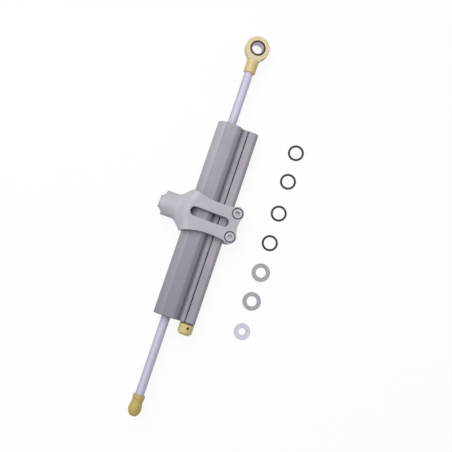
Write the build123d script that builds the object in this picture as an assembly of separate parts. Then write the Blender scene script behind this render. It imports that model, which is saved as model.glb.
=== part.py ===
from build123d import *
import os
from math import cos, radians, sin, sqrt

os.makedirs("parts", exist_ok=True)

# A linear steering damper with its loose seal rings and washers, as it lies on a bench.
# Every piece of the damper is drawn in the damper's own frame: x runs along the rod towards its eye,
# y across towards the clamp's joint, z square to both, and zero is the centre of the eye's bore.
# Then the damper is laid over about its rod until the back of its tapered clamp lies flat.

# Clearances, radial unless said otherwise
running_gap = 0.05          # a shaft that turns or slides in its hole
seat_gap = 0.03             # a piece that is fitted and stays put
ball_gap = 0.1              # a ball in its spherical seat
clamp_gap = 0.25            # the clamp round the barrel, all round
turn_gap = 0.5              # the knob's face off the barrel's end
overrun = 1.0               # how far a cut runs past the face it leaves

# Rod
rod_radius = 4.0
thread_radius = 3.0         # spigots screwed into the eye and the stop
thread_length = 11.0
bare_rod_eye_side = 51.8    # rod that shows between the eye's shank and the barrel
bare_rod_stop_side = 71.9   # rod that shows between the barrel and the stop

# Eye at the end of the rod
eye_radius = 11.1
eye_width = 9.0
eye_edge = 0.6
eye_reach = 23.5            # from the bore's centre to the end of the shank
shank_radius = 5.5
shank_edge = 0.4
neck_blend = 4.0
eye_ball_radius = 8.35
eye_ball_width = 8.0
eye_bush_radius = 5.85
eye_bore_radius = 5.0
eye_bush_length = 9.5
bush_edge = 0.4

# Stop on the far end of the rod
stop_length = 18.5
stop_radius = 5.75
stop_collar_share = 0.14
stop_collar_radius_share = 0.94
stop_waist_share = 0.3
stop_waist_radius_share = 0.84
stop_bulge_share = 0.64
stop_shoulder_share = 0.9
stop_shoulder_radius_share = 0.76
stop_nose_radius_share = 0.44
stop_key_width = 4.0        # across the flats of the hexagon in its nose
stop_key_depth = 2.5

# Barrel, one bored extrusion with a working tube and a valve tube side by side
barrel_length = 180.0
body_radius = 12.0
body_flat_width = 9.7
valve_offset = 19.8         # between the two tubes' axes
side_radius = 6.75
side_flat_width = 6.4
web_half_height = 4.6
slit_width = 1.0
slit_depth = 1.0
slit_from_valve = 3.3       # from the valve tube's axis
barrel_edge = 0.35
bore_radius = 9.5
bypass_radius = 3.0
port_radius = 1.2

# Rod guide screwed up behind a snap ring in each end of the working bore
guide_recess = 3.0          # barrel end to the guide's outer face
guide_reach = 23.0          # barrel end to the guide's inner face
nose_length = 7.0           # waisted inner end, which lets oil round to the port
nose_relief = 1.2
wiper_radius = 6.6
wiper_depth = 3.5
pocket_wall = 1.0
pocket_wall_bore = 4.9
seal_radius = 7.1
seal_depth = 4.5
seal_groove_depth = 1.8
lip_reach = 0.8
ring_groove_width = 2.4
ring_groove_depth = 1.5
snap_thickness = 1.1
snap_bite = 0.6             # how deep a snap ring sits in the wall
snap_height = 1.4           # radial height of a snap ring
snap_opening = 5.0
spanner_hole_radius = 0.7
spanner_hole_depth = 2.0

# Piston on the middle of the rod
piston_length = 10.0
piston_gap = 0.1
band_width = 4.0
band_depth = 1.4
flow_hole_radius = 0.8
flow_circle_radius = 6.3
flow_hole_count = 6
shim_thickness = 0.4
shim_radius = 7.6
clip_thickness = 1.0
clip_bite = 0.5
clip_radius = 5.4
clip_opening = 3.0

# Adjuster in the stop side end of the valve tube
bush_radius = 4.2
bush_reach = 14.0           # barrel end to the bush's inner face
bush_inset = 0.4
seat_reach = 25.5           # barrel end to the seat's inner face
stem_radius = 2.0
collar_radius = 3.1
collar_depth = 6.0          # barrel end to the collar's shoulder
collar_thickness = 1.5
socket_radius = 2.7
socket_end = 13.0
stem_ring_start = 3.4
stem_ring_width = 1.8
stem_ring_height = 1.1
bush_ring_start = 9.0
bush_ring_width = 1.8
bush_ring_depth = 0.7
needle_shank_radius = 1.5
needle_travel = 1.0         # each way from rest
needle_key_width = 4.0
needle_key_length = 2.0
needle_tip_radius = 1.0
needle_point_radius = 0.4
orifice_radius = 1.3
orifice_length = 3.0
chamber_radius = 3.2
key_slot_depth = 4.2

# Knob
knob_radius = 6.6
knob_length = 10.4
knob_edge = 1.5
knob_top_edge = 0.4
knob_step_radius = 5.4
knob_step_length = 1.1
knob_skirt_radius = 5.2     # hollow under the knob
knob_skirt_depth = 1.2
knob_rest_angle = 11.0      # how far its screw hole lies turned at rest, in degrees
grub_radius = 1.25
grub_length = 3.2
grub_key_width = 1.3
grub_inset = 0.5

# Plug in the eye side end of the valve tube
plug_radius = 3.9
plug_length = 6.0
plug_inset = 0.6
plug_key_width = 3.0
plug_key_depth = 3.0
plug_ring_start = 4.2
plug_ring_width = 1.5
plug_ring_depth = 0.9

# Clamp that slides along the barrel
clamp_x = -161.0            # where its middle stands at rest
clamp_taper_angle = 9.0     # slope of its front and of its back, in degrees
clamp_reach = 16.0          # rod axis to the front and to the back
clamp_waist_half = 14.25
clamp_waist_y = -11.8
clamp_arc_radius = 76.0
clamp_shoulder_y = 10.8     # where the plates end and the joint's flare begins
plate_blend = 5.0           # where the flare runs into the front and the back
ear_radius = 6.15
ear_y = -29.7
ear_half_pitch = 10.9
ear_waist_drop = 3.8
split_gap = 2.0
slot_length = 36.5
slot_width = 8.6
slot_y = -6.75
screw_head_radius = 4.25
screw_head_height = 5.0
screw_recess_radius = 5.15
screw_radius = 2.45
screw_hole_gap = 0.3
screw_length = 16.0
screw_key_width = 4.0
screw_key_depth = 2.5
screw_edge = 0.35

# Ball joint in the clamp's boss
boss_radius = 11.2
boss_face_y = 34.8
flare_radius = 19.0
flare_y = 14.4
flare_top_y = 22.2
flare_base_radius = 28.0
flare_top_blend = 7.0
flare_foot_blend = 5.0
boss_edge = 0.5
joint_ball_radius = 8.6
joint_ball_width = 10.0
joint_ball_depth = 3.0      # boss face to the ball's centre
joint_bush_length = 14.2
joint_bush_radius = 5.85
joint_bore_radius = 4.1
race_radius = 9.9
race_inner_reach = 4.5      # from the ball's centre towards the barrel
race_outer_reach = 2.0      # from the ball's centre towards the open end
joint_snap_thickness = 0.7
joint_snap_bite = 0.35
joint_snap_height = 1.35
pocket_radius = 8.0
pocket_depth = 8.4          # from the ball's centre towards the barrel
bolt_room_radius = 5.0
bolt_room_depth = 14.5

# Loose seal rings, washers and spacer beside the damper
loose_row_y = -67.9
seal_ring_middle_radius = 6.4
seal_ring_thickness = 2.0
washer_radius = 8.36
washer_bore_radius = 4.6
washer_thickness = 1.6
spacer_radius = 7.5
spacer_bore_radius = 3.15
spacer_thickness = 1.6
loose_edge = 0.25
# Places along the row and in from it, as shares of the barrel's length
seal_ring_place_shares = ((0.4283, 0.0223), (0.582, 0.0153), (0.7526, 0.0093), (0.9103, 0.0056))
washer_place_shares = ((1.0662, 0.0021), (1.2174, 0.0006))
spacer_place_share = 1.3756

# Places that follow from the sizes
eye_face_x = -eye_reach - bare_rod_eye_side
stop_face_x = eye_face_x - barrel_length
stop_start_x = stop_face_x - bare_rod_stop_side
piston_x = eye_face_x - barrel_length / 2 - (bare_rod_stop_side - bare_rod_eye_side) / 2
lie_angle = clamp_taper_angle
joint_y = boss_face_y - joint_ball_depth
piston_half = piston_length / 2
port_depth = guide_reach - nose_length / 2
to_y = Rot(Z=90)
to_z = Rot(Y=-90)
to_valve = Pos(Y=-valve_offset)
EYE_END = (eye_face_x, -1)
STOP_END = (stop_face_x, 1)


def turned(outline):
    """Solid turned about the x axis from an outline of (place, radius) points."""
    return revolve(make_face(Polyline(*outline, close=True)), Axis.X)


def bar(start, end, radius):
    """Round bar along the x axis."""
    return turned([(start, 0), (end, 0), (end, radius), (start, radius)])


def sleeve(start, end, inner, outer):
    """Round sleeve along the x axis."""
    return turned([(start, inner), (end, inner), (end, outer), (start, outer)])


def beveled_bar(start, end, radius, edge):
    """Round bar along the x axis with both end edges broken."""
    outline = [(start, 0), (end, 0), (end, radius - edge), (end - edge, radius)]
    return turned(outline + [(start + edge, radius), (start, radius - edge)])


def beveled_sleeve(start, end, inner, outer, edge):
    """Round sleeve along the x axis with its four end edges broken."""
    inside = [(start + edge, inner), (end - edge, inner), (end, inner + edge)]
    outside = [(end, outer - edge), (end - edge, outer), (start + edge, outer), (start, outer - edge)]
    return turned(inside + outside + [(start, inner + edge)])


def hexagon_bar(start, end, across_flats):
    """Hexagonal bar along the x axis."""
    hexagon = RegularPolygon(across_flats / 2, 6, major_radius=False)
    return extrude(Plane.YZ.offset(start) * hexagon, end - start)


def inward(barrel_end, outline):
    """An outline of (depth into the barrel, radius) points as (x, radius) points."""
    face, way = barrel_end
    return [(face + way * depth, radius) for depth, radius in outline]


def at_depth(barrel_end, depth):
    """The x of a depth into one end of the barrel."""
    face, way = barrel_end
    return face + way * depth


def half_chord(radius, height):
    """Half the width of a circle at a height above its middle."""
    return sqrt(radius**2 - height**2)


def open_ring(ring, middle_x, thickness, opening, radius):
    """A ring about the x axis with a gap cut in it, at the back."""
    gap = Box(thickness + 2 * overrun, opening, radius + overrun)
    return ring - Pos(middle_x, 0, -(radius + overrun) / 2) * gap


# Barrel and what its ends hold


def barrel_outline(grown_by):
    """Section of the extrusion, square to the rod, grown all round by a clearance."""
    flat_height = half_chord(body_radius, body_flat_width / 2) + grown_by
    side_flat_height = half_chord(side_radius, side_flat_width / 2) + grown_by
    body = Circle(body_radius + grown_by) & Rectangle(2 * (body_radius + grown_by), 2 * flat_height)
    side = Circle(side_radius + grown_by) & Rectangle(2 * (side_radius + grown_by), 2 * side_flat_height)
    web = Rectangle(valve_offset, 2 * (web_half_height + grown_by))
    return body + Pos(-valve_offset) * side + Pos(-valve_offset / 2) * web


def barrel_slits():
    """The narrow groove along the front and the back, where the web meets the valve tube."""
    depth = slit_depth + side_radius
    slit = Rectangle(slit_width, depth)
    middle = web_half_height - slit_depth + depth / 2
    across = -valve_offset + slit_from_valve
    return Pos(across, middle) * slit + Pos(across, -middle) * slit


def barrel_body():
    """The bored extrusion, with snap ring grooves and cross ports."""
    start_plane = Plane.YZ.offset(stop_face_x)
    body = extrude(start_plane * barrel_outline(0), barrel_length)
    body = chamfer(body.faces().filter_by(Axis.X).edges(), barrel_edge)
    body -= extrude(start_plane * barrel_slits(), barrel_length)
    body -= bar(stop_face_x - overrun, eye_face_x + overrun, bore_radius)
    for end in (EYE_END, STOP_END):
        mouth = [(-overrun, 0), (0, 0), (barrel_edge, 0), (barrel_edge, bore_radius)]
        body -= turned(inward(end, mouth + [(0, bore_radius + barrel_edge), (-overrun, bore_radius + barrel_edge)]))
        groove_start = guide_recess - snap_thickness - seat_gap
        groove = [(groove_start, 0), (guide_recess, 0), (guide_recess, bore_radius + snap_bite + seat_gap)]
        body -= turned(inward(end, groove + [(groove_start, bore_radius + snap_bite + seat_gap)]))
        port = to_y * bar(-valve_offset, 0, port_radius)
        body -= Pos(X=at_depth(end, port_depth)) * port
    bypass = bar(stop_face_x - overrun, eye_face_x + overrun, bypass_radius)
    plug_room = bar(eye_face_x - plug_inset - plug_length, eye_face_x + overrun, plug_radius + seat_gap)
    valve_room = bar(stop_face_x - overrun, stop_face_x + seat_reach, bush_radius + seat_gap)
    return body - to_valve * (bypass + plug_room + valve_room)


def rod_guide(end):
    """Turned guide with pockets for a wiper and a seal, a ring groove and a waisted nose."""
    wall_start = guide_recess + wiper_depth
    seal_start = wall_start + pocket_wall
    seal_end = seal_start + seal_depth
    nose_start = guide_reach - nose_length
    groove_start = (seal_end + nose_start) / 2 - ring_groove_width / 2
    groove_end = groove_start + ring_groove_width
    outer = bore_radius - seat_gap
    inside = [(guide_recess, wiper_radius), (wall_start, wiper_radius), (wall_start, pocket_wall_bore)]
    inside += [(seal_start, pocket_wall_bore), (seal_start, seal_radius), (seal_end, seal_radius)]
    inside += [(seal_end, rod_radius + running_gap), (guide_reach, rod_radius + running_gap)]
    outside = [(guide_reach, outer - nose_relief), (nose_start, outer - nose_relief), (nose_start, outer)]
    outside += [(groove_end, outer), (groove_end, outer - ring_groove_depth)]
    outside += [(groove_start, outer - ring_groove_depth), (groove_start, outer), (guide_recess, outer)]
    guide = turned(inward(end, inside + outside))
    hole_circle = (wiper_radius + bore_radius) / 2
    hole = bar(at_depth(end, guide_recess - overrun), at_depth(end, guide_recess + spanner_hole_depth),
               spanner_hole_radius)
    return guide - Pos(Z=hole_circle) * hole - Pos(Z=-hole_circle) * hole


def rod_wiper(end):
    """Rubber wiper whose lip stands out round the rod."""
    inner = rod_radius + running_gap
    outer = wiper_radius - seat_gap
    lip_outer = inner + (outer - inner) / 3
    inside = [(guide_recess - lip_reach, inner), (guide_recess + wiper_depth - seat_gap, inner)]
    outside = [(guide_recess + wiper_depth - seat_gap, outer), (guide_recess, outer)]
    lip = [(guide_recess + lip_reach, lip_outer + lip_reach), (guide_recess - lip_reach, lip_outer)]
    return turned(inward(end, inside + outside + lip))


def rod_seal(end):
    """Rubber seal with a groove towards the oil, which spreads its lips."""
    start = guide_recess + wiper_depth + pocket_wall + seat_gap
    stop = guide_recess + wiper_depth + pocket_wall + seal_depth - seat_gap
    inner = rod_radius + running_gap
    outer = seal_radius - seat_gap
    middle = (inner + outer) / 2
    quarter = (outer - inner) / 4
    groove = [(stop, middle - quarter), (stop - seal_groove_depth, middle), (stop, middle + quarter)]
    return turned(inward(end, [(start, inner), (stop, inner)] + groove + [(stop, outer), (start, outer)]))


def guide_ring(end):
    """Ring that seals the guide in the bore, drawn squeezed in its groove."""
    seal_end = guide_recess + wiper_depth + pocket_wall + seal_depth
    middle = (seal_end + guide_reach - nose_length) / 2
    half = ring_groove_width / 2 - seat_gap
    inner = bore_radius - ring_groove_depth
    outer = bore_radius - seat_gap / 2
    return turned(inward(end, [(middle - half, inner), (middle + half, inner),
                               (middle + half, outer), (middle - half, outer)]))


def snap_ring(end):
    """Sprung ring that holds the guide in."""
    outer = bore_radius + snap_bite
    start = at_depth(end, guide_recess - snap_thickness)
    stop = at_depth(end, guide_recess)
    ring = turned([(start, outer - snap_height), (stop, outer - snap_height), (stop, outer), (start, outer)])
    return open_ring(ring, (start + stop) / 2, snap_thickness, snap_opening, outer)


def bypass_plug():
    """Screwed plug with a hexagon key hole, in the eye side end of the valve tube."""
    start = plug_inset
    stop = plug_inset + plug_length - seat_gap
    waist = plug_radius - plug_ring_depth
    outline = [(start, 0), (stop, 0), (stop, plug_radius), (plug_ring_start + plug_ring_width, plug_radius)]
    outline += [(plug_ring_start + plug_ring_width, waist), (plug_ring_start, waist)]
    outline += [(plug_ring_start, plug_radius), (start, plug_radius)]
    key = hexagon_bar(eye_face_x - start - plug_key_depth, eye_face_x - start + overrun, plug_key_width)
    return to_valve * (turned(inward(EYE_END, outline)) - key)


def bypass_plug_ring():
    """Seal ring of the plug."""
    start = plug_ring_start + seat_gap
    stop = plug_ring_start + plug_ring_width - seat_gap
    inner = plug_radius - plug_ring_depth + seat_gap
    outline = [(start, inner), (stop, inner), (stop, plug_radius), (start, plug_radius)]
    return to_valve * turned(inward(EYE_END, outline))


# Piston and rod


def piston():
    """Piston with flow holes and a groove for its band."""
    radius = bore_radius - piston_gap
    half_band = band_width / 2
    inner = rod_radius + seat_gap
    outline = [(-piston_half, inner), (piston_half, inner), (piston_half, radius), (half_band, radius)]
    outline += [(half_band, radius - band_depth), (-half_band, radius - band_depth)]
    outline += [(-half_band, radius), (-piston_half, radius)]
    body = turned(outline)
    hole = bar(-piston_half - overrun, piston_half + overrun, flow_hole_radius)
    for turn in range(flow_hole_count):
        body -= Rot(X=360 * turn / flow_hole_count) * Pos(Z=flow_circle_radius) * hole
    return Pos(X=piston_x) * body


def piston_band():
    """Band that runs on the bore and lets the rod and piston turn inside it."""
    half = band_width / 2 - running_gap
    inner = bore_radius - piston_gap - band_depth + running_gap
    return Pos(X=piston_x) * sleeve(-half, half, inner, bore_radius - running_gap)


def piston_shims():
    """One spring steel disc on each face of the piston, over its flow holes."""
    disc = sleeve(piston_half, piston_half + shim_thickness, rod_radius + seat_gap, shim_radius)
    return Pos(X=piston_x) * Compound([*disc.solids(), *mirror(disc, Plane.YZ).solids()])


def piston_clips():
    """Snap rings in the rod that carry the piston and its discs."""
    start = piston_half + shim_thickness
    clip = sleeve(start, start + clip_thickness, rod_radius - clip_bite + seat_gap, clip_radius)
    clip = open_ring(clip, start + clip_thickness / 2, clip_thickness, clip_opening, clip_radius)
    return Pos(X=piston_x) * Compound([*clip.solids(), *mirror(clip, Plane.YZ).solids()])


def piston_rod():
    """Ground rod right through the barrel, with a threaded spigot at each end and two clip grooves."""
    rod = bar(stop_start_x, -eye_reach, rod_radius)
    rod += beveled_bar(-eye_reach - overrun, -eye_reach + thread_length, thread_radius, shank_edge)
    rod += beveled_bar(stop_start_x - thread_length, stop_start_x + overrun, thread_radius, shank_edge)
    start = piston_half + shim_thickness
    for way in (-1, 1):
        middle = piston_x + way * (start + clip_thickness / 2)
        half = clip_thickness / 2 + seat_gap
        rod -= sleeve(middle - half, middle + half, rod_radius - clip_bite, rod_radius + overrun)
    return rod


def eye_outline():
    """Flat outline of the eye with the blends where its neck leaves the ring."""
    centre_x = -sqrt((eye_radius + neck_blend)**2 - (shank_radius + neck_blend)**2)
    blend_y = (shank_radius + neck_blend) * eye_radius / (eye_radius + neck_blend)
    neck = Pos(centre_x / 2) * Rectangle(-centre_x, 2 * blend_y)
    for side in (-1, 1):
        neck -= Pos(centre_x, side * (shank_radius + neck_blend)) * Circle(neck_blend)
    return Circle(eye_radius) + neck


def eye_housing():
    """One piece eye with a spherical seat and a threaded shank."""
    ring = extrude(eye_outline(), eye_width / 2, both=True)
    rim = [edge for edge in ring.edges() if edge.geom_type == GeomType.CIRCLE and edge.radius == eye_radius]
    ring = chamfer(rim, eye_edge)
    blend_start = -sqrt((eye_radius + neck_blend)**2 - (shank_radius + neck_blend)**2)
    housing = ring + beveled_bar(-eye_reach, blend_start + eye_edge, shank_radius, shank_edge)
    housing -= Sphere(eye_ball_radius + ball_gap)
    return housing - bar(-eye_reach - overrun, -eye_reach + thread_length + overrun, thread_radius + seat_gap)


def eye_ball():
    """Ball that tilts in the eye, bored for its bush."""
    ball = Sphere(eye_ball_radius) & Cylinder(eye_ball_radius, eye_ball_width)
    return ball - Cylinder(eye_bush_radius + running_gap, eye_ball_width + overrun)


def eye_bush():
    """Steel bush that turns in the ball and takes the bolt."""
    half = eye_bush_length / 2
    return to_z * beveled_sleeve(-half, half, eye_bore_radius, eye_bush_radius, bush_edge)


def rod_stop():
    """Bullet shaped stop with a collar, a waist and a rounded nose, screwed on the rod's far end."""
    def place(share):
        return stop_start_x - share * stop_length

    def point(share, radius_share):
        return (place(share), radius_share * stop_radius)

    collar = [(stop_start_x, 0), point(0, stop_collar_radius_share)]
    collar_end = point(stop_collar_share, stop_collar_radius_share)
    flank = Spline(collar_end, point(stop_waist_share, stop_waist_radius_share), point(stop_bulge_share, 1),
                   point(stop_shoulder_share, stop_shoulder_radius_share), point(1, stop_nose_radius_share))
    nose = Polyline(point(1, stop_nose_radius_share), (place(1), 0), *collar, collar_end)
    stop = revolve(make_face([flank, nose]), Axis.X)
    stop -= bar(stop_start_x - thread_length - overrun, stop_start_x + overrun, thread_radius + seat_gap)
    return stop - hexagon_bar(place(1) - overrun, place(1) + stop_key_depth, stop_key_width)


# Adjuster in the valve tube


def adjuster_bush():
    """Screwed bush that carries the knob's spindle and its seal ring."""
    ring_end = stem_ring_start + stem_ring_width
    ring_wall = stem_radius + stem_ring_height
    stem_bore = stem_radius + running_gap
    outer_ring_end = bush_ring_start + bush_ring_width
    inside = [(bush_inset, stem_bore), (stem_ring_start, stem_bore), (stem_ring_start, ring_wall)]
    inside += [(ring_end, ring_wall), (ring_end, stem_bore), (collar_depth, stem_bore)]
    inside += [(collar_depth, collar_radius + running_gap), (bush_reach, collar_radius + running_gap)]
    outside = [(bush_reach, bush_radius), (outer_ring_end, bush_radius)]
    outside += [(outer_ring_end, bush_radius - bush_ring_depth), (bush_ring_start, bush_radius - bush_ring_depth)]
    outside += [(bush_ring_start, bush_radius), (bush_inset, bush_radius)]
    return to_valve * turned(inward(STOP_END, inside + outside))


def adjuster_bush_ring():
    """Ring that seals the bush in the barrel."""
    start = bush_ring_start + seat_gap
    stop = bush_ring_start + bush_ring_width - seat_gap
    inner = bush_radius - bush_ring_depth + seat_gap
    outline = [(start, inner), (stop, inner), (stop, bush_radius), (start, bush_radius)]
    return to_valve * turned(inward(STOP_END, outline))


def spindle_ring():
    """Ring that seals the turning stem."""
    start = stem_ring_start + seat_gap
    stop = stem_ring_start + stem_ring_width - seat_gap
    inner = stem_radius + running_gap
    outer = stem_radius + stem_ring_height - seat_gap
    return to_valve * turned(inward(STOP_END, [(start, inner), (stop, inner), (stop, outer), (start, outer)]))


def adjuster_spindle():
    """Stem from the knob, with a thrust collar and a threaded socket for the needle."""
    collar_end = collar_depth + collar_thickness
    socket_bore = needle_shank_radius + running_gap
    stem_start = -turn_gap - knob_length + knob_step_length
    collar_start = collar_depth + running_gap
    outline = [(stem_start, 0), (collar_end, 0), (collar_end, socket_bore), (socket_end, socket_bore)]
    outline += [(socket_end, socket_radius), (collar_end, socket_radius), (collar_end, collar_radius)]
    outline += [(collar_start, collar_radius), (collar_start, stem_radius), (stem_start, stem_radius)]
    return to_valve * turned(inward(STOP_END, outline))


def adjuster_seat():
    """Seat pressed in behind the bush: a square guide for the needle, a chamber and the orifice."""
    orifice_start = seat_reach - orifice_length
    chamber_start = bush_reach + key_slot_depth
    start = bush_reach + seat_gap
    body = sleeve(at_depth(STOP_END, start), at_depth(STOP_END, seat_reach), orifice_radius, bush_radius)
    body -= bar(at_depth(STOP_END, chamber_start), at_depth(STOP_END, orifice_start), chamber_radius)
    key_room = needle_key_width + 2 * running_gap
    guide = Box(key_slot_depth + overrun, key_room, key_room)
    body -= Pos(X=at_depth(STOP_END, chamber_start - (key_slot_depth + overrun) / 2 + running_gap)) * guide
    side_hole = to_y * bar(0, bush_radius + overrun, port_radius)
    return to_valve * (body - Pos(X=at_depth(STOP_END, port_depth)) * side_hole)


def metering_needle():
    """Needle with a threaded shank, a square key that stops it turning and a tapered tip."""
    shank_start = at_depth(STOP_END, collar_depth + collar_thickness + needle_travel + running_gap)
    key_middle = at_depth(STOP_END, bush_reach + key_slot_depth / 2)
    key_end = key_middle + needle_key_length / 2
    tip_start = at_depth(STOP_END, seat_reach - orifice_length - needle_travel)
    tip_end = at_depth(STOP_END, seat_reach - needle_travel)
    shank = bar(shank_start, key_middle, needle_shank_radius)
    key = Pos(X=key_middle) * Box(needle_key_length, needle_key_width, needle_key_width)
    tip = [(key_end, 0), (tip_end, 0), (tip_end, needle_point_radius), (tip_start, needle_tip_radius)]
    return to_valve * (shank + key + turned(tip + [(key_end, needle_tip_radius)]))


def knob_shape():
    """Knob about its own axis, with a stepped end and a hollow under its skirt."""
    top = -turn_gap
    step = top - knob_length + knob_step_length
    end = top - knob_length
    inner = [(top, knob_skirt_radius), (top - knob_skirt_depth, knob_skirt_radius), (top - knob_skirt_depth, 0)]
    outer = [(end, 0), (end, knob_step_radius - knob_step_length), (step, knob_step_radius)]
    outer += [(step + (knob_edge - knob_top_edge), knob_radius), (top - knob_top_edge, knob_radius)]
    return turned(inward(STOP_END, inner + outer + [(top, knob_radius - knob_top_edge)]))


def grub_place():
    """Where the knob's screw hole starts: on the knob's axis, half way along its length."""
    return Rot(X=knob_rest_angle) * Pos(X=at_depth(STOP_END, -turn_gap - knob_length / 2 + grub_radius)) * to_z


def adjuster_knob():
    """Knob, bored for the spindle and drilled for its screw."""
    stem_hole_end = at_depth(STOP_END, -turn_gap - knob_length + knob_step_length)
    knob = knob_shape() - bar(stem_hole_end, at_depth(STOP_END, 0), stem_radius + seat_gap)
    return to_valve * (knob - grub_place() * bar(0, knob_radius + overrun, grub_radius + seat_gap))


def knob_grub_screw():
    """Headless screw that holds the knob on its spindle."""
    start = stem_radius + seat_gap
    screw = bar(start, start + grub_length, grub_radius)
    key = hexagon_bar(start + grub_length - grub_inset - grub_key_width, start + grub_length + overrun,
                      grub_key_width)
    return to_valve * (grub_place() * (screw - key))


# Clamp and its ball joint


def plate_height(y):
    """Height of the clamp's sloping front above the middle plane."""
    return (clamp_reach + y * sin(radians(clamp_taper_angle))) / cos(radians(clamp_taper_angle))


def clamp_plan():
    """Outline of the clamp seen from the front: waisted plates and two ears with a hollow between."""
    length = boss_face_y - ear_y
    plan = Pos(0, (boss_face_y + ear_y) / 2) * Rectangle(4 * clamp_waist_half, length)
    for side in (-1, 1):
        plan -= Pos(side * (clamp_waist_half + clamp_arc_radius), clamp_waist_y) * Circle(clamp_arc_radius)
    for side in (-1, 1):
        plan += Pos(side * ear_half_pitch, ear_y) * Circle(ear_radius)
    hollow = (ear_half_pitch**2 + ear_waist_drop**2 - ear_radius**2) / (2 * (ear_radius - ear_waist_drop))
    bridge_half = ear_half_pitch * hollow / (hollow + ear_radius)
    bridge_drop = ear_radius * (hollow + ear_waist_drop) / (hollow + ear_radius)
    plan += Pos(0, ear_y - bridge_drop / 2) * Rectangle(2 * bridge_half, bridge_drop)
    return plan - Pos(0, ear_y - ear_waist_drop - hollow) * Circle(hollow)


def clamp_wedge():
    """Solid between the clamp's sloping front and back planes."""
    left = boss_face_y
    right = ear_y - ear_radius - overrun
    half = 3 * clamp_waist_half
    corners = [(left, plate_height(left)), (right, plate_height(right))]
    corners += [(right, -plate_height(right)), (left, -plate_height(left))]
    return extrude(Plane.YZ.offset(-half) * make_face(Polyline(*corners, close=True)), 2 * half)


def joint_flare():
    """Round boss that flares out to the plates, about the joint's axis."""
    foot = Polyline((clamp_shoulder_y, 0), (clamp_shoulder_y, flare_base_radius))
    flank = FilletPolyline((clamp_shoulder_y, flare_base_radius), (flare_y, flare_radius),
                           (flare_top_y, boss_radius), (boss_face_y - boss_edge, boss_radius),
                           radius=[flare_foot_blend, flare_top_blend])
    face = Polyline((boss_face_y - boss_edge, boss_radius), (boss_face_y, boss_radius - boss_edge),
                    (boss_face_y, 0), (clamp_shoulder_y, 0))
    return to_y * revolve(make_face([foot, flank, face]), Axis.X)


def flare_edges(shell):
    """Edges where the sloping front and back planes cut the flare."""
    curved = (GeomType.BSPLINE, GeomType.HYPERBOLA)
    edges = [edge for edge in shell.edges() if edge.geom_type in curved]
    return [edge for edge in edges if abs(edge.center().X) < clamp_waist_half and edge.center().Y > clamp_shoulder_y]


def clamp_shell():
    """Outside of the clamp before anything is cut in it."""
    right = ear_y - ear_radius - overrun
    block = Pos(Y=(clamp_shoulder_y + right) / 2) * Box(6 * clamp_waist_half, clamp_shoulder_y - right,
                                                        4 * clamp_reach)
    prism = extrude(clamp_plan(), 2 * clamp_reach, both=True)
    shell = (block + joint_flare()) & prism & clamp_wedge()
    return fillet(flare_edges(shell), plate_blend)


def screw_cuts():
    """Recess and clearance hole in the front ears, tapped hole in the back ears."""
    head_seat = plate_height(ear_y) - screw_head_height
    depth = 2 * clamp_reach
    cuts = []
    for side in (-1, 1):
        place = Pos(side * ear_half_pitch, ear_y) * to_z
        cuts.append(place * bar(head_seat, depth, screw_recess_radius))
        cuts.append(place * bar(0, depth, screw_radius + screw_hole_gap))
        cuts.append(place * bar(-depth, 0, screw_radius + running_gap))
    return cuts


def joint_room():
    """Stepped bore of the boss for the race, its snap ring, the ball and the bolt's end."""
    race_wall = race_radius + seat_gap
    groove_wall = race_radius + joint_snap_bite + seat_gap
    race_start = joint_y - race_inner_reach
    groove_start = joint_y + race_outer_reach
    groove_end = groove_start + joint_snap_thickness + seat_gap
    pocket_start = joint_y - pocket_depth
    outline = [(joint_y - bolt_room_depth, 0), (joint_y - bolt_room_depth, bolt_room_radius)]
    outline += [(pocket_start, bolt_room_radius), (pocket_start, pocket_radius), (race_start, pocket_radius)]
    outline += [(race_start, race_wall), (groove_start, race_wall), (groove_start, groove_wall)]
    outline += [(groove_end, groove_wall), (groove_end, race_wall), (boss_face_y + overrun, race_wall)]
    return to_y * turned(outline + [(boss_face_y + overrun, 0)])


def clamp_band():
    """C shaped clamp with waisted, slotted plates, split ears and a flared boss for the joint."""
    half = 3 * clamp_waist_half
    band = clamp_shell()
    band -= extrude(Plane.YZ.offset(-half) * barrel_outline(clamp_gap), 2 * half)
    split_start = -valve_offset
    split_end = ear_y - ear_radius - overrun
    band -= Pos(Y=(split_start + split_end) / 2) * Box(2 * half, split_start - split_end, split_gap)
    slot = Pos(0, slot_y) * SlotOverall(slot_length, slot_width, rotation=90)
    band -= extrude(slot, 2 * clamp_reach, both=True)
    for cut in screw_cuts():
        band -= cut
    return Pos(X=clamp_x) * (band - joint_room())


def clamp_screws():
    """Two cap screws that close the clamp."""
    seat = plate_height(ear_y) - screw_head_height
    top = seat + screw_head_height
    shank = [(seat - screw_length, 0), (seat, 0), (seat, screw_radius)]
    screw = turned(shank + [(seat - screw_length + screw_edge, screw_radius),
                            (seat - screw_length, screw_radius - screw_edge)])
    screw += turned([(seat, 0), (top, 0), (top, screw_head_radius - screw_edge),
                     (top - screw_edge, screw_head_radius), (seat, screw_head_radius)])
    screw = to_z * (screw - hexagon_bar(top - screw_key_depth, top + overrun, screw_key_width))
    pair = [Pos(clamp_x + side * ear_half_pitch, ear_y) * screw for side in (-1, 1)]
    return Compound([solid for placed in pair for solid in placed.solids()])


def joint_race():
    """Ring with the spherical seat of the clamp's ball."""
    ring = bar(joint_y - race_inner_reach, joint_y + race_outer_reach, race_radius)
    seat = Pos(X=joint_y) * Sphere(joint_ball_radius + ball_gap)
    return Pos(X=clamp_x) * to_y * (ring - seat)


def joint_snap_ring():
    """Sprung ring that holds the race in the boss."""
    start = joint_y + race_outer_reach
    outer = race_radius + joint_snap_bite
    ring = sleeve(start, start + joint_snap_thickness, outer - joint_snap_height, outer)
    ring = open_ring(ring, start + joint_snap_thickness / 2, joint_snap_thickness, snap_opening, outer)
    return Pos(X=clamp_x) * to_y * ring


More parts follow.
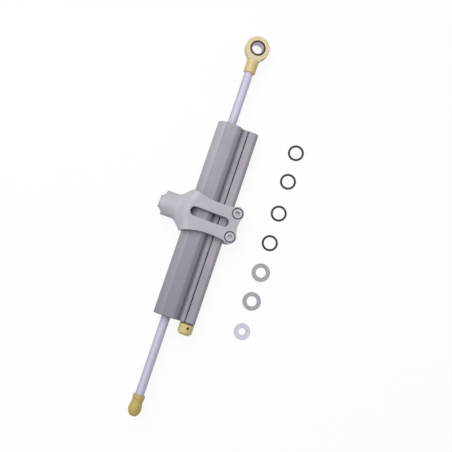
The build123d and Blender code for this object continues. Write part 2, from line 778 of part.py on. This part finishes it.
def joint_ball():
    """Ball that tilts in the race, bored for its bush."""
    ball = Sphere(joint_ball_radius) & Cylinder(joint_ball_radius, joint_ball_width)
    ball -= Cylinder(joint_bush_radius + running_gap, joint_ball_width + overrun)
    return Pos(clamp_x, joint_y) * Rot(X=90) * ball


def joint_bush():
    """Steel bush that turns in the ball and takes the frame's bolt."""
    half = joint_bush_length / 2
    bush = beveled_sleeve(-half, half, joint_bore_radius, joint_bush_radius, bush_edge)
    return Pos(clamp_x, joint_y) * to_y * bush


# Loose pieces on the bench beside the damper


def on_bench(along_share, inward_share, height):
    """Place of a loose piece whose middle lies at a height above the bench."""
    return Pos(-along_share * barrel_length, loose_row_y + inward_share * barrel_length, height - clamp_reach)


def loose_seal_rings():
    """Rubber rings that go on the joints."""
    ring = Torus(seal_ring_middle_radius, seal_ring_thickness / 2)
    placed = [on_bench(along, inset, seal_ring_thickness / 2) * ring for along, inset in seal_ring_place_shares]
    return Compound([solid for one in placed for solid in one.solids()])


def flat_washer(radius, bore, thickness):
    """Flat washer with broken edges, about the z axis."""
    return to_z * beveled_sleeve(-thickness / 2, thickness / 2, bore, radius, loose_edge)


def loose_washers():
    """Two large washers."""
    washer = flat_washer(washer_radius, washer_bore_radius, washer_thickness)
    placed = [on_bench(along, inset, washer_thickness / 2) * washer for along, inset in washer_place_shares]
    return Compound([solid for one in placed for solid in one.solids()])


def loose_spacer():
    """Washer with a small hole."""
    spacer = flat_washer(spacer_radius, spacer_bore_radius, spacer_thickness)
    return on_bench(spacer_place_share, 0, spacer_thickness / 2) * spacer


damper_pieces = {
    "barrel_body": barrel_body(),
    "eye_side_guide": rod_guide(EYE_END),
    "stop_side_guide": rod_guide(STOP_END),
    "eye_side_wiper": rod_wiper(EYE_END),
    "stop_side_wiper": rod_wiper(STOP_END),
    "eye_side_rod_seal": rod_seal(EYE_END),
    "stop_side_rod_seal": rod_seal(STOP_END),
    "eye_side_guide_ring": guide_ring(EYE_END),
    "stop_side_guide_ring": guide_ring(STOP_END),
    "eye_side_snap_ring": snap_ring(EYE_END),
    "stop_side_snap_ring": snap_ring(STOP_END),
    "bypass_plug": bypass_plug(),
    "bypass_plug_ring": bypass_plug_ring(),
    "piston": piston(),
    "piston_band": piston_band(),
    "piston_shims": piston_shims(),
    "piston_clips": piston_clips(),
    "piston_rod": piston_rod(),
    "eye_housing": eye_housing(),
    "eye_ball": eye_ball(),
    "eye_bush": eye_bush(),
    "rod_stop": rod_stop(),
    "adjuster_bush": adjuster_bush(),
    "adjuster_bush_ring": adjuster_bush_ring(),
    "spindle_ring": spindle_ring(),
    "adjuster_spindle": adjuster_spindle(),
    "adjuster_seat": adjuster_seat(),
    "metering_needle": metering_needle(),
    "adjuster_knob": adjuster_knob(),
    "knob_grub_screw": knob_grub_screw(),
    "clamp_band": clamp_band(),
    "clamp_screws": clamp_screws(),
    "joint_race": joint_race(),
    "joint_snap_ring": joint_snap_ring(),
    "joint_ball": joint_ball(),
    "joint_bush": joint_bush(),
}
bench_pieces = {
    "loose_seal_rings": loose_seal_rings(),
    "loose_washers": loose_washers(),
    "loose_spacer": loose_spacer(),
}
for name, shape in damper_pieces.items():
    export_step(Rot(X=lie_angle) * shape, f"parts/{name}.step")
for name, shape in bench_pieces.items():
    export_step(shape, f"parts/{name}.step")
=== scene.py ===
import math

import bpy
from mathutils import Matrix, Vector

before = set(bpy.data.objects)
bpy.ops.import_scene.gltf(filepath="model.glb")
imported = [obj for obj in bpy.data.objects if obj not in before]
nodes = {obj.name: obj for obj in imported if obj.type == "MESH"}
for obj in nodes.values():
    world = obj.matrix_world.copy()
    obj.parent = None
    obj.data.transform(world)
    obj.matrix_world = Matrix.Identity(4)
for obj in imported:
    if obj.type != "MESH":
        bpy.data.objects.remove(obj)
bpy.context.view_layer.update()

MM = 0.001
LIE_ANGLE = math.radians(9.0)      # the damper lies turned this much about its rod
BENCH_Z = -16.0 * MM
FLOOR_SIZE = 30.0
FLOOR_DROP = 0.02 * MM             # keeps the floor clear of the pieces that lie on the bench

# Places on the damper, in its own frame

BARREL_EYE_END_X = -75.3 * MM
BARREL_STOP_END_X = -255.3 * MM
FLAT_EDGE_Y = 4.85 * MM            # where the barrel's flat ends and its round outer side begins
# width over which the painted highlight on the barrel's outer side fades in
SIDE_HIGHLIGHT_FADE = 1.5 * MM
WEB_EDGE_Y = -11.0 * MM            # where the barrel's working tube meets its web
# width over which the painted shade on the working tube fades in
TUBE_SHADE_FADE = 3.0 * MM
GROOVE_Y = -11.2 * MM              # the line of the groove between them
SLIT_Y = -16.5 * MM                # the slit beside the barrel's valve tube
SLIT_FLOOR_Z = 3.6 * MM            # the slit is cut down to here from the front and the back
# share of painted shade on the slit's walls
SLIT_PAINTED_SHADE = 0.7
BUSH_END_Z = 4.75 * MM             # the ends of the eye's bush
SHANK_X = -13.0 * MM               # where the eye's neck turns into its shank
NECK_FADE = 2.0 * MM

# Grain, and the rod's painted reflection lines, in cells per metre along the damper's three axes

BLASTED = (2600, 2600, 2600)       # even grain of bead blasted metal
DRAWN = (30, 1700, 1700)           # lines drawn out along the rod
TURNED = (1900, 30, 30)            # lines round the rod's direction
STREAKS = (7, 520, 520)            # broad streaks along the barrel
# painted reflections on the rod
ROD_REFLECTION_LINES = (4, 700, 700)          # faint lines along the rod
MOULDED = (1400, 1400, 1400)       # fine grain of moulded rubber
CLOUDS = (70, 70, 70)
SMALL_CLOUDS = (120, 120, 120)
BLOOM = (160, 160, 160)
LINE_STRETCH = 20                  # cells per metre along the lines of turned metal
RELIEF = {"grain": 0.02 * MM, "lines": 0.006 * MM, "rubber": 0.012 * MM}

# Light

FLOOR_GREY = (0.85, 0.85, 0.85, 1.0)
FLOOR_WHITE = 0.9                  # how much of the floor the camera sees as plain white
WHITE = (1, 1, 1, 1)
WORLD_LIGHT = 0.22
LIT_PLACE = Vector((-170 * MM, -10 * MM, 0))
SOFT_BOXES = (                     # in metres and watts, with each box aimed up the picture by aim
    dict(name="key", right=-0.12, up=0.28, height=0.66, size=0.6, power=4.7, aim=0.0),
    dict(name="left", right=-0.62, up=0.1, height=0.4, size=0.3, power=0.8, aim=0.0),
    dict(name="right", right=0.6, up=0.1, height=0.45, size=0.4, power=0.8, aim=0.0),
    dict(name="low", right=-0.15, up=-0.6, height=0.3, size=0.4, power=0.5, aim=-0.1),
)

# Camera

CAMERA_PLACE = Vector((-226.1, -45.7, 634.4)) * MM
CAMERA_TILT = math.radians(5.98)
CAMERA_YAW = math.radians(18.498)
FOCAL_PIXELS = 715.0
FRAME_PIXELS = 452.0
SENSOR_WIDTH = 36.0                # in millimetres, as Blender takes it
CLIP_START = 0.01


def screen(shade):
    """A colour given in 0 to 255 screen values, as the linear colour that a shader takes."""
    def linear(value):
        value = value / 255
        return value / 12.92 if value <= 0.04045 else ((value + 0.055) / 1.055) ** 2.4
    return (*map(linear, shade), 1.0)


# Node building


class Graph:
    """A material's node tree with short ways to add what every material here needs."""

    def __init__(self, name, **inputs):
        self.material = bpy.data.materials.new(name)
        self.material.use_nodes = True
        self.tree = self.material.node_tree
        self.tree.nodes.clear()
        self.output = self.add("ShaderNodeOutputMaterial")
        self.shader = self.add("ShaderNodeBsdfPrincipled")
        self.link(self.shader.outputs["BSDF"], self.output.inputs["Surface"])
        for key, value in inputs.items():
            self.shader.inputs[key.replace("_", " ")].default_value = value

    def add(self, kind, **values):
        node = self.tree.nodes.new(kind)
        for key, value in values.items():
            setattr(node, key, value)
        return node

    def link(self, source, target):
        self.tree.links.new(source, target)

    def feed(self, socket, value):
        """Give a socket a number or a colour, or link it to another node's output."""
        if isinstance(value, (int, float, tuple)):
            socket.default_value = value
        else:
            self.link(value, socket)

    def math(self, operation, first, second):
        node = self.add("ShaderNodeMath", operation=operation)
        self.feed(node.inputs[0], first)
        self.feed(node.inputs[1], second)
        return node.outputs[0]

    def blend(self, first, second, share):
        """A share of the first value and the rest of the second."""
        return self.math("ADD", self.math("MULTIPLY", first, share),
                         self.math("MULTIPLY", second, 1.0 - share))

    def mix(self, amount, first, second):
        node = self.add("ShaderNodeMix", data_type="RGBA")
        self.feed(node.inputs[0], amount)
        self.feed(node.inputs[6], first)
        self.feed(node.inputs[7], second)
        return node.outputs[2]

    def ramp(self, value, start, end, low=0.0, high=1.0):
        """Low up to the value start, high from the value end on, and even between them."""
        node = self.add("ShaderNodeMapRange")
        node.inputs["From Min"].default_value = start
        node.inputs["From Max"].default_value = end
        node.inputs["To Min"].default_value = low
        node.inputs["To Max"].default_value = high
        self.link(value, node.inputs["Value"])
        return node.outputs["Result"]

    def place(self, scale=(1, 1, 1)):
        """The point on the piece in metres, in the damper's own frame, stretched by scale."""
        coordinates = self.add("ShaderNodeTexCoord")
        turned = self.add("ShaderNodeMapping")
        turned.inputs["Rotation"].default_value = (-LIE_ANGLE, 0, 0)
        self.link(coordinates.outputs["Object"], turned.inputs["Vector"])
        stretched = self.add("ShaderNodeMapping")
        stretched.inputs["Scale"].default_value = scale
        self.link(turned.outputs["Vector"], stretched.inputs["Vector"])
        return stretched.outputs["Vector"]

    def along(self, axis):
        """How far the point lies along one axis of the damper's own frame, in metres."""
        split = self.add("ShaderNodeSeparateXYZ")
        self.link(self.place(), split.inputs[0])
        return split.outputs[axis]

    def near(self, axis, middle, full, none):
        """1 within a distance of a place on an axis, falling to 0 at a larger one."""
        off = self.math("ABSOLUTE", self.math("SUBTRACT", self.along(axis), middle), 0.0)
        return self.ramp(off, full, none, low=1.0, high=0.0)

    def noise(self, cells, detail=2.0, rough=0.5):
        """Noise with so many cells per metre along the axes of the damper's own frame."""
        node = self.add("ShaderNodeTexNoise")
        node.inputs["Scale"].default_value = 1.0
        node.inputs["Detail"].default_value = detail
        node.inputs["Roughness"].default_value = rough
        self.link(self.place(cells), node.inputs["Vector"])
        return node.outputs["Fac"]

    def tint(self, color, where, share, shade):
        """The colour, drawn by a share to a shade where a mask is 1."""
        return self.mix(self.math("MULTIPLY", where, share), color, screen(shade))

    def finish(self, color, grain, rough, spread, relief):
        """Wire the colour, and the roughness and the relief that follow the grain."""
        self.link(color, self.shader.inputs["Base Color"])
        uneven = self.ramp(grain, 0.2, 0.8, rough - spread, rough + spread)
        self.link(uneven, self.shader.inputs["Roughness"])
        bump = self.add("ShaderNodeBump")
        bump.inputs["Distance"].default_value = relief
        bump.inputs["Strength"].default_value = 1.0
        self.link(grain, bump.inputs["Height"])
        self.link(bump.outputs["Normal"], self.shader.inputs["Normal"])
        return self.material


# Painted light and shade, and other tones, that follow a piece's form


def barrel_painted_light_and_streaks(graph, color):
    """Painted highlight round its outer side, painted shade deepening along the working tube
    towards the stop end, painted shade in its groove, crease, end edge and slit, over broad
    streaks of tone.
    """
    # painted highlight on the outer round side
    side = graph.ramp(graph.along("Y"), FLAT_EDGE_Y, FLAT_EDGE_Y + SIDE_HIGHLIGHT_FADE)
    color = graph.tint(color, side, 0.45, (190, 187, 190))
    # painted shade on the working tube, deepening towards the stop end
    tube = graph.ramp(graph.along("Y"), WEB_EDGE_Y, WEB_EDGE_Y + TUBE_SHADE_FADE, high=0.9)
    far = graph.ramp(graph.along("X"), BARREL_EYE_END_X, BARREL_STOP_END_X)
    color = graph.tint(color, tube, far, (136, 132, 143))
    # painted shade along the crease at the flat's edge
    painted_crease_shade = graph.near("Y", FLAT_EDGE_Y, full=0.15 * MM, none=0.5 * MM)
    color = graph.tint(color, painted_crease_shade, 0.25, (100, 96, 104))
    # painted shade in the groove
    groove = graph.near("Y", GROOVE_Y, full=1.0 * MM, none=2.4 * MM)
    color = graph.tint(color, groove, 0.62, (80, 77, 84))
    # painted shade on the edge of the stop end
    end = graph.near("X", BARREL_STOP_END_X, full=0.3 * MM, none=0.9 * MM)
    color = graph.tint(color, end, 0.55, (70, 67, 73))
    streak = graph.ramp(graph.noise(STREAKS, detail=1.0), 0.35, 0.65, high=0.14)
    color = graph.mix(streak, color, screen((112, 108, 122)))
    # painted shade on the walls of the slit
    slit = graph.near("Y", SLIT_Y, full=0.5 * MM, none=0.56 * MM)
    deep = graph.near("Z", 0.0, full=SLIT_FLOOR_Z - 0.2 * MM, none=SLIT_FLOOR_Z - 0.1 * MM)
    beside = graph.math("SUBTRACT", SLIT_PAINTED_SHADE, graph.math("MULTIPLY", deep, SLIT_PAINTED_SHADE))
    return graph.tint(color, slit, beside, (50, 48, 54))


def pale_ring(graph, color):
    """Paler and greyer on the eye's ring than on its shank."""
    ring = graph.ramp(graph.along("X"), SHANK_X - NECK_FADE, SHANK_X + NECK_FADE)
    return graph.tint(color, ring, 0.7, (196, 189, 156))


def painted_shadow_at_knob_neck(graph, color):
    """Painted shadow of the gap where the knob meets the barrel."""
    neck = graph.near("X", BARREL_STOP_END_X, full=1.1 * MM, none=1.5 * MM)
    return graph.tint(color, neck, 0.8, (60, 50, 36))


def painted_reflection_lines(graph, color):
    """Painted reflections as faint lines along the rod."""
    line = graph.ramp(graph.noise(ROD_REFLECTION_LINES, detail=1.0), 0.4, 0.65, high=0.3)
    return graph.mix(line, color, screen((150, 146, 164)))


def dark_rims(graph, color):
    """Dark round both rims of the eye's bush."""
    inside = graph.near("Z", 0.0, full=BUSH_END_Z - 0.3 * MM, none=BUSH_END_Z - 0.15 * MM)
    return graph.mix(inside, screen((98, 84, 76)), color)


# Materials


GRAIN_SHARE = 0.55                 # of the fine grain in a colour's tone; clouds have the rest
LINES_SHARE = 0.5
HALF_TINT = (0.5, 0.5, 0.5, 1.0)   # for the edges of metal seen at a slant


def anodised(name, base, shade, metallic=0.2, rough=0.6, grain=BLASTED, vary=None):
    """Anodised aluminium: the grain of its machining under slow cloudiness."""
    graph = Graph(name, Metallic=metallic, Specular_Tint=HALF_TINT)
    fine = graph.noise(grain, detail=3.0, rough=0.6)
    cloud = graph.noise(CLOUDS)
    tone = graph.blend(fine, cloud, GRAIN_SHARE)
    color = graph.mix(graph.ramp(tone, 0.35, 0.65), screen(shade), screen(base))
    color = vary(graph, color) if vary else color
    return graph.finish(color, fine, rough, 0.08, RELIEF["grain"])


def turned_metal(name, base, shade, metallic=0.8, rough=0.3, cells=2500, axis="x", vary=None):
    """Turned metal with fine lines round its axis."""
    graph = Graph(name, Metallic=metallic, Specular_Tint=HALF_TINT)
    lines = graph.noise(tuple(cells if own == axis else LINE_STRETCH for own in "xyz"))
    cloud = graph.noise(SMALL_CLOUDS)
    tone = graph.blend(lines, cloud, LINES_SHARE)
    color = graph.mix(graph.ramp(tone, 0.3, 0.7), screen(shade), screen(base))
    color = vary(graph, color) if vary else color
    return graph.finish(color, lines, rough, 0.07, RELIEF["lines"])


def rubber(name, base, shade, rough=0.62):
    """Moulded rubber or plastic with a slight bloom."""
    graph = Graph(name, Metallic=0.0, Specular_IOR_Level=0.25)
    fine = graph.noise(MOULDED)
    color = graph.mix(graph.ramp(graph.noise(BLOOM), 0.35, 0.65), screen(shade), screen(base))
    return graph.finish(color, fine, rough, 0.08, RELIEF["rubber"])


def dress(material, *names):
    """Put a material on the named pieces."""
    for name in names:
        mesh = nodes[name].data
        mesh.materials.clear()
        mesh.materials.append(material)


dress(anodised("barrel_anodised", (164, 159, 168), (150, 145, 154), grain=DRAWN,
               vary=barrel_painted_light_and_streaks),
      "barrel_body")
dress(anodised("clamp_anodised", (186, 183, 192), (175, 172, 181), metallic=0.1, rough=0.68),
      "clamp_band")
dress(anodised("eye_gold_anodised", (201, 184, 131), (190, 171, 117), rough=0.55,
               vary=pale_ring),
      "eye_housing")
dress(anodised("stop_gold_anodised", (192, 172, 107), (170, 148, 82), rough=0.55,
               grain=TURNED),
      "rod_stop")
dress(anodised("knob_gold_anodised", (208, 190, 138), (192, 174, 118), metallic=0.1,
               grain=TURNED, vary=painted_shadow_at_knob_neck),
      "adjuster_knob")
dress(turned_metal("chromed_rod", (188, 185, 201), (180, 177, 194), rough=0.75, cells=700,
                   vary=painted_reflection_lines),
      "piston_rod")
dress(turned_metal("turned_steel", (176, 175, 182), (160, 159, 166)),
      "adjuster_spindle", "metering_needle")
dress(turned_metal("joint_steel", (180, 178, 186), (170, 168, 176), metallic=0.25, rough=0.6,
                   axis="y"),
      "joint_race", "joint_ball", "joint_bush")
dress(turned_metal("eye_steel", (204, 195, 214), (190, 182, 200), metallic=0.4, rough=0.4,
                   axis="z", vary=dark_rims),
      "eye_bush")
dress(turned_metal("plain_aluminium", (186, 186, 190), (172, 172, 177), metallic=0.7,
                   rough=0.36),
      "eye_side_guide", "stop_side_guide", "bypass_plug", "piston")
dress(turned_metal("spring_steel", (96, 95, 98), (78, 77, 80), rough=0.35),
      "eye_side_snap_ring", "stop_side_snap_ring", "piston_shims", "piston_clips",
      "joint_snap_ring")
dress(turned_metal("screw_steel", (180, 181, 186), (158, 159, 164), metallic=0.4, rough=0.45,
                   axis="z"),
      "clamp_screws")
dress(turned_metal("black_steel", (98, 66, 44), (80, 54, 38), rough=0.42, axis="z"),
      "knob_grub_screw")
dress(turned_metal("washer_steel", (152, 151, 158), (138, 137, 144), metallic=0.3, rough=0.5,
                   axis="z"),
      "loose_washers")
dress(turned_metal("light_washer", (194, 192, 202), (184, 182, 192), metallic=0.2, rough=0.5,
                   axis="z"),
      "loose_spacer")
dress(turned_metal("brass", (190, 160, 96), (172, 142, 80), rough=0.32),
      "adjuster_bush", "adjuster_seat")
dress(rubber("nitrile_rubber", (58, 58, 60), (48, 48, 50)),
      "eye_side_wiper", "stop_side_wiper", "eye_side_rod_seal", "stop_side_rod_seal",
      "eye_side_guide_ring", "stop_side_guide_ring", "bypass_plug_ring", "adjuster_bush_ring",
      "spindle_ring", "loose_seal_rings")
dress(rubber("bearing_plastic", (44, 36, 30), (34, 28, 24), rough=0.6),
      "eye_ball", "piston_band")


# Floor, light and camera


def white_rays(add, link):
    """1 for the rays that meet plain white: from the camera, from gloss and through glass."""
    paths = add("ShaderNodeLightPath")
    seen = paths.outputs["Is Camera Ray"]
    for name in ("Is Glossy Ray", "Is Transmission Ray"):
        either = add("ShaderNodeMath")
        either.operation = "MAXIMUM"
        link(seen, either.inputs[0])
        link(paths.outputs[name], either.inputs[1])
        seen = either.outputs[0]
    return seen


def stage_floor():
    """Pale floor, nearly white to the white rays; it keeps the damper's shadow."""
    bpy.ops.mesh.primitive_plane_add(size=FLOOR_SIZE, location=(0, 0, BENCH_Z - FLOOR_DROP))
    floor = bpy.context.object
    floor.name = "floor"
    graph = Graph("floor", Base_Color=FLOOR_GREY, Roughness=0.9)
    white = graph.add("ShaderNodeEmission")
    white.inputs["Color"].default_value = WHITE
    white.inputs["Strength"].default_value = 1.0
    seen = white_rays(graph.add, graph.link)
    both = graph.add("ShaderNodeMixShader")
    graph.link(graph.math("MULTIPLY", seen, FLOOR_WHITE), both.inputs[0])
    graph.link(graph.shader.outputs["BSDF"], both.inputs[1])
    graph.link(white.outputs["Emission"], both.inputs[2])
    graph.link(both.outputs["Shader"], graph.output.inputs["Surface"])
    floor.data.materials.append(graph.material)


def white_world():
    """White all round for the white rays, and at a plain level for light."""
    world = bpy.data.worlds.new("studio")
    world.use_nodes = True
    bpy.context.scene.world = world
    tree = world.node_tree
    tree.nodes.clear()
    choose = tree.nodes.new("ShaderNodeMixShader")
    tree.links.new(white_rays(tree.nodes.new, tree.links.new), choose.inputs[0])
    for socket, strength in ((choose.inputs[1], WORLD_LIGHT), (choose.inputs[2], 1.0)):
        background = tree.nodes.new("ShaderNodeBackground")
        background.inputs["Color"].default_value = WHITE
        background.inputs["Strength"].default_value = strength
        tree.links.new(background.outputs[0], socket)
    output = tree.nodes.new("ShaderNodeOutputWorld")
    tree.links.new(choose.outputs[0], output.inputs["Surface"])


def put_in_scene(name, data):
    """Add a light or a camera to the scene."""
    holder = bpy.data.objects.new(name, data)
    bpy.context.scene.collection.objects.link(holder)
    return holder


def add_camera():
    """Camera above the damper; gives the picture's up and right along the bench."""
    level_up = Vector((math.cos(CAMERA_YAW), math.sin(CAMERA_YAW), 0))
    right = Vector((math.sin(CAMERA_YAW), -math.cos(CAMERA_YAW), 0))
    sky = Vector((0, 0, 1))
    forward = level_up * math.sin(CAMERA_TILT) - sky * math.cos(CAMERA_TILT)
    up = level_up * math.cos(CAMERA_TILT) + sky * math.sin(CAMERA_TILT)
    camera = bpy.data.cameras.new("camera")
    camera.sensor_width = SENSOR_WIDTH
    camera.lens = FOCAL_PIXELS / FRAME_PIXELS * SENSOR_WIDTH
    camera.clip_start = CLIP_START
    holder = put_in_scene("camera", camera)
    turn = Matrix((right, up, -forward)).transposed().to_4x4()
    turn.translation = CAMERA_PLACE
    holder.matrix_world = turn
    bpy.context.scene.camera = holder
    return level_up, right


def soft_light(name, place, target, size, power):
    """Square soft box at a place, turned to a target."""
    lamp = bpy.data.lights.new(name, "AREA")
    lamp.shape = "SQUARE"
    lamp.size = size
    lamp.energy = power
    holder = put_in_scene(name, lamp)
    holder.location = place
    holder.rotation_euler = (target - place).to_track_quat("-Z", "Y").to_euler()


stage_floor()
white_world()
picture_up, picture_right = add_camera()
for box in SOFT_BOXES:
    place = LIT_PLACE + picture_right * box["right"] + picture_up * box["up"]
    place += Vector((0, 0, box["height"]))
    soft_light(box["name"], place, LIT_PLACE + picture_up * box["aim"], box["size"], box["power"])
bpy.context.scene.view_settings.view_transform = "Standard"
